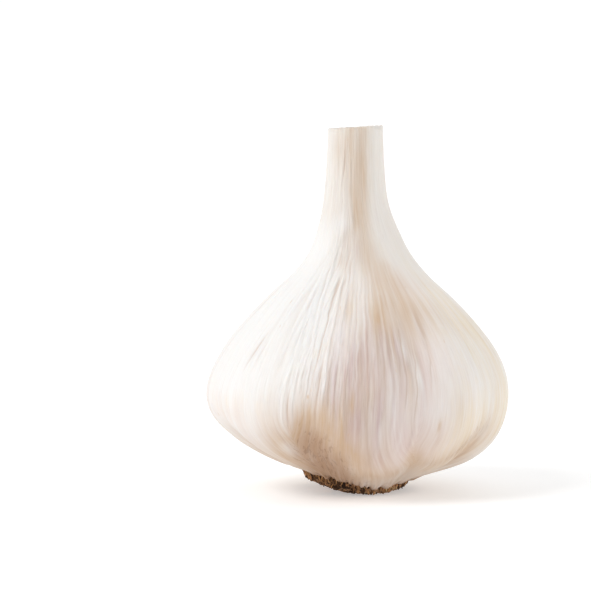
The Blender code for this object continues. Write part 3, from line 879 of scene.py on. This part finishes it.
def skin_paint():
    """Papery skin: fibres and blots, then the stains, then painted shade in creases, folds and furrows, and
    strands, then fine streaks.
    """
    paint = Paint("dry_skin", Specular_IOR_Level=0.35, Subsurface_Weight=0.1, Subsurface_Scale=1.0 * MM)
    paint.shader.inputs["Subsurface Radius"].default_value = (1, 0.7, 0.5)

    def streaks(wide, tall, detail, roughness=0.55, distortion=0):
        """Noise along the fibres, with this many cells to a radian and to a unit of their length."""
        return paint.grain("fibre", (wide, wide, tall), detail, roughness, distortion)

    def fibres(wide, *rest):
        """Streaks that are a quarter as many on the neck as on the belly."""
        both = {"Factor": "neck", 2: streaks(wide, *rest), 3: streaks(wide / 4, *rest)}
        return paint.node("ShaderNodeMix", 0, both)

    def stain(name, low, high, least):
        """The mark of this name, weakened to least between the threads."""
        return paint.times(name, paint.fit(thread, low, high, least, 1))

    hair = fibres(110, 4.5, 4, 0.65)
    thread = fibres(38, 1.8, 5, 0.62)
    band = fibres(11, 1.2, 4, 0.55)
    cloud = streaks(3, 2, 3)
    blot = streaks(9, 5, 4, 0.6)

    paint.colour = paint.mix(paint.fit(band, 0.38, 0.7), (0.82, 0.805, 0.788, 1), (0.805, 0.755, 0.715, 1))
    paint.coat(paint.fit(blot, 0.52, 0.68, 0, 0.35), (0.81, 0.735, 0.61, 1))
    paint.coat(paint.fit(blot, 0.46, 0.34, 0, 0.3), (0.735, 0.69, 0.7, 1))

    paint.coat(stain("rose", 0.2, 0.7, 0.6), (0.745, 0.635, 0.59, 1))
    paint.coat(stain("cream", 0.25, 0.7, 0.2), (0.79, 0.685, 0.525, 1))
    paint.coat(paint.fit("neck", 0, 1, 0, 0.6), (0.745, 0.698, 0.64, 1))
    purple = paint.mix(paint.fit(band, 0.42, 0.58), (0.53, 0.395, 0.385, 1), (0.52, 0.4, 0.34, 1))
    paint.coat(stain("blush", 0.3, 0.66, 0.5), purple)
    paint.coat(stain("tan", 0.2, 0.75, 0.62), (0.575, 0.405, 0.265, 1))
    paint.coat(paint.fit("pale", 0, 1, 0, 0.85), (0.822, 0.815, 0.803, 1))

    crease = streaks(56, 5, 3, 0.6, 0.3)
    # Painted shade in the creases of the crumpled skin, where the crease bump runs low.
    paint.coat(paint.times("crisp", paint.fit(crease, 0.48, 0.36, 0, 0.4)), (0.6, 0.49, 0.43, 1))
    # Painted shade: darker deep in the folds, in thin furrows and just right of ridges.
    paint.coat(paint.fit("fold", 0.45, 1, 0, 0.3), (0.76, 0.69, 0.62, 1), "MULTIPLY")
    paint.coat(paint.fit("furrow", 0.05, 1, 0, 0.45), (0.56, 0.41, 0.33, 1))
    strand = streaks(52, 11, 2, 0.55, 0.6)
    strand = paint.times(paint.fit(strand, 0.53, 0.66), "web")
    paint.coat(paint.fit("web", 0.05, 1, 0, 0.85), (0.385, 0.225, 0.13, 1))
    paint.coat(paint.fit(strand, 0, 0.8, 0, 0.55), (0.25, 0.135, 0.07, 1))
    fleck = streaks(24, 9, 1)
    fleck = paint.times(paint.fit(fleck, 0.72, 0.82, 0, 0.4), paint.fit(cloud, 0.42, 0.6))
    paint.coat(fleck, (0.62, 0.36, 0.13, 1))

    stripe = streaks(17, 1.3, 3, 0.5, 0.2)
    patch = paint.times(paint.fit(cloud, 0.38, 0.6, 0.1, 1), paint.fit("neck", 0, 0.8, 1, 0))
    paint.coat(paint.times(patch, paint.fit(stripe, 0.54, 0.34, 0, 0.13)), (0.74, 0.64, 0.61, 1), "MULTIPLY")
    paint.coat(paint.times(patch, paint.fit(stripe, 0.52, 0.7, 0, 0.13)), (0.93, 0.91, 0.88, 1))
    paint.coat(paint.times("calm", paint.fit(hair, 0.45, 0.8, 0, 0.13)), (0.95, 0.93, 0.9, 1))
    paint.coat(paint.times("calm", paint.fit(hair, 0.55, 0.22, 0, 0.18)), (0.66, 0.57, 0.5, 1), "MULTIPLY")

    normal = paint.bump(paint.times("calm", thread), 0.12 * MM, 0.6)
    normal = paint.bump(paint.times("calm", hair), 0.06 * MM, 0.7, normal)
    normal = paint.bump(paint.times("crisp", crease), 0.2 * MM, 0.8, normal)
    return paint.finish(paint.fit(thread, 0.3, 0.7, 0.42, 0.6), normal)


def core_paint():
    """Straw-coloured leaf bases, brown in the gaps between them."""
    paint = Paint("cut_neck", Specular_IOR_Level=0.25)
    grain = paint.grain("grain", (22, 22, 22), 5, 0.7)
    layer = paint.fit("layer", 0.3, 0.75)
    paint.colour = paint.mix(layer, (0.76, 0.65, 0.5, 1), (0.66, 0.5, 0.33, 1))
    paint.coat(paint.fit(grain, 0.42, 0.7, 0, 0.6), (0.47, 0.33, 0.2, 1))
    paint.coat(paint.fit("gap", 0.1, 0.95), (0.26, 0.165, 0.095, 1))
    return paint.finish(paint.fit(grain, 0.3, 0.7, 0.65, 0.85), paint.bump(grain, 0.12 * MM, 0.8))


def cork_paint():
    """Brown cork: dark crumbs and clumps, worn paler where it stands out, and painted shade, near black, at
    the front left, the back and the bottom of the rim.
    """
    paint = Paint("cork", Specular_IOR_Level=0.2)
    crumb = paint.grain("place", (3.4, 3.4, 1.2), 6, 0.72)
    patch = paint.grain("place", (0.6, 0.6, 0.9), 3)
    grit = paint.grain("place", (6.5, 6.5, 2.4), 3, 0.6)
    clump = paint.grain("place", (1.2, 1.2, 1.5), 3, 0.6, 0.6)
    paint.colour = paint.mix(paint.fit(crumb, 0.32, 0.6), (0.085, 0.034, 0.014, 1), (0.7, 0.35, 0.16, 1))
    paint.coat(paint.fit(clump, 0.48, 0.41), (0.045, 0.02, 0.01, 1))
    raised = paint.times(paint.fit("raised", 0.45, 0.95), paint.fit(patch, 0.35, 0.6))
    paint.coat(raised, (0.6, 0.36, 0.21, 1))
    # Painted shade, in patches, where the shade mark is high.
    cork_shade = paint.times("cork_shade", paint.fit(clump, 0.6, 0.47, 0, 0.9))
    paint.coat(cork_shade, (0.03, 0.015, 0.009, 1))
    paint.coat(paint.fit(grit, 0.42, 0.3, 0, 0.8), (0.025, 0.012, 0.008, 1))
    paint.coat(paint.fit(grit, 0.66, 0.76, 0, 0.8), (0.62, 0.45, 0.26, 1))
    return paint.finish(paint.fit(crumb, 0.3, 0.7, 0.8, 0.95), paint.bump(crumb, 0.35 * MM, 1))


def root_paint():
    """Brown to straw-coloured by each root's tone, with dark flecks and painted shade towards each root's
    lower end, by the ground.
    """
    paint = Paint("dry_root", Specular_IOR_Level=0.25)
    fleck = paint.noise(paint.node("ShaderNodeTexCoord", "Object"), 2.6 / MM, 4, 0.65)
    paint.colour = paint.mix(paint.fit("tone", 0.15, 0.6), (0.06, 0.027, 0.012, 1), (0.56, 0.29, 0.12, 1))
    paint.coat(paint.fit("tone", 0.6, 0.78), (0.9, 0.66, 0.33, 1))
    paint.coat(paint.fit(fleck, 0.5, 0.7, 0, 0.5), (0.12, 0.065, 0.032, 1))
    # Painted shade: each root darkens towards its lower end, by the ground.
    paint.coat(paint.fit("low_end_shade", 0.65, 1, 0, 0.75), (0.06, 0.033, 0.018, 1))
    return paint.finish(paint.fit(fleck, 0.3, 0.7, 0.7, 0.9), paint.bump(fleck, 0.1 * MM, 0.7))


# ---------------------------------------------------------------- camera, light and floor


def camera():
    """A long lens that looks slightly down on the front of the bulb."""
    distance = 600.0
    above = 46.8
    aim = np.array((-12.6, 0.0, 37.6)) * MM
    data = bpy.data.cameras.new("camera")
    data.sensor_width = 36
    data.lens = 173.5
    data.clip_start = 0.05
    data.clip_end = 50
    obj = placed("camera", data)
    obj.location = aim + np.array((0.0, -distance, above)) * MM
    obj.rotation_euler = (math.pi / 2 - math.atan2(above, distance), 0, 0)
    bpy.context.scene.camera = obj


def sun(name, turn, elevation, strength, softness):
    """A distant soft light that comes from this turn and elevation."""
    data = bpy.data.lights.new(name, "SUN")
    data.energy = strength
    data.angle = math.radians(softness)
    placed(name, data).rotation_euler = (math.radians(90 - elevation), 0, math.radians(turn))


def floor():
    """A round white floor."""
    rings = np.array((0.0005, 0.1, 0.4, 1.5, 6.0))[:, None]
    angle = np.linspace(0, 2 * math.pi, 96, endpoint=False)[None, :]
    rows = np.stack([rings * np.sin(angle), -rings * np.cos(angle), 0 * rings * angle], axis=-1)
    obj = lofted("floor", rows[::-1], {}, (False, True))
    paint = Paint("floor", Roughness=0.9, Specular_IOR_Level=0.0, Emission_Strength=0.35)
    paint.shader.inputs["Emission Color"].default_value = (1, 1, 1, 1)
    grain = paint.noise(paint.node("ShaderNodeTexCoord", "Object"), 400, 3)
    paint.colour = paint.mix(grain, (0.73, 0.73, 0.73, 1), (0.75, 0.75, 0.75, 1))
    obj.data.materials.append(paint.finish())


def world():
    """A bright horizon all round, and a softer sky above it that is dimmest in front."""
    made = bpy.data.worlds.new("studio")
    bpy.context.scene.world = made
    made.use_nodes = True
    nodes = made.node_tree.nodes
    links = made.node_tree.links
    direction = nodes.new("ShaderNodeTexCoord")
    split = nodes.new("ShaderNodeSeparateXYZ")

    def ramp(**limits):
        made = nodes.new("ShaderNodeMapRange")
        made.interpolation_type = "SMOOTHSTEP"
        for socket, value in limits.items():
            made.inputs[socket.replace("_", " ")].default_value = value
        return made

    front = ramp(From_Min=-0.95, From_Max=-0.1, To_Min=0.36, To_Max=0.86)
    fade = ramp(From_Min=0.06, From_Max=0.25, To_Min=1.04)
    links.new(direction.outputs["Generated"], split.inputs[0])
    links.new(split.outputs["Y"], front.inputs["Value"])
    links.new(front.outputs[0], fade.inputs["To Max"])
    links.new(split.outputs["Z"], fade.inputs["Value"])
    links.new(fade.outputs[0], nodes["Background"].inputs["Strength"])
    nodes["Background"].inputs["Color"].default_value = (1.0, 1.0, 1.0, 1)


def main():
    camera()
    skin, rim = bulb_skin()
    skin.data.materials.append(skin_paint())
    core = neck_core(rim)
    core.data.materials.append(core_paint())
    plate = root_plate()
    plate.data.materials.append(cork_paint())
    stubs = roots()
    stubs.data.materials.append(root_paint())
    for piece, slot in ((skin, "skin"), (core, "skin"), (plate, "root_plate"), (stubs, "root")):
        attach(piece, "root")
    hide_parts("bulb")
    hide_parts("root_plate")
    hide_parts(*ROOT_NODES)
    floor()
    world()
    sun("key", turn=-60, elevation=42, strength=1.26, softness=30)
    sun("fill", turn=82, elevation=10, strength=0.58, softness=50)
    bpy.context.scene.view_settings.view_transform = "Standard"


main()
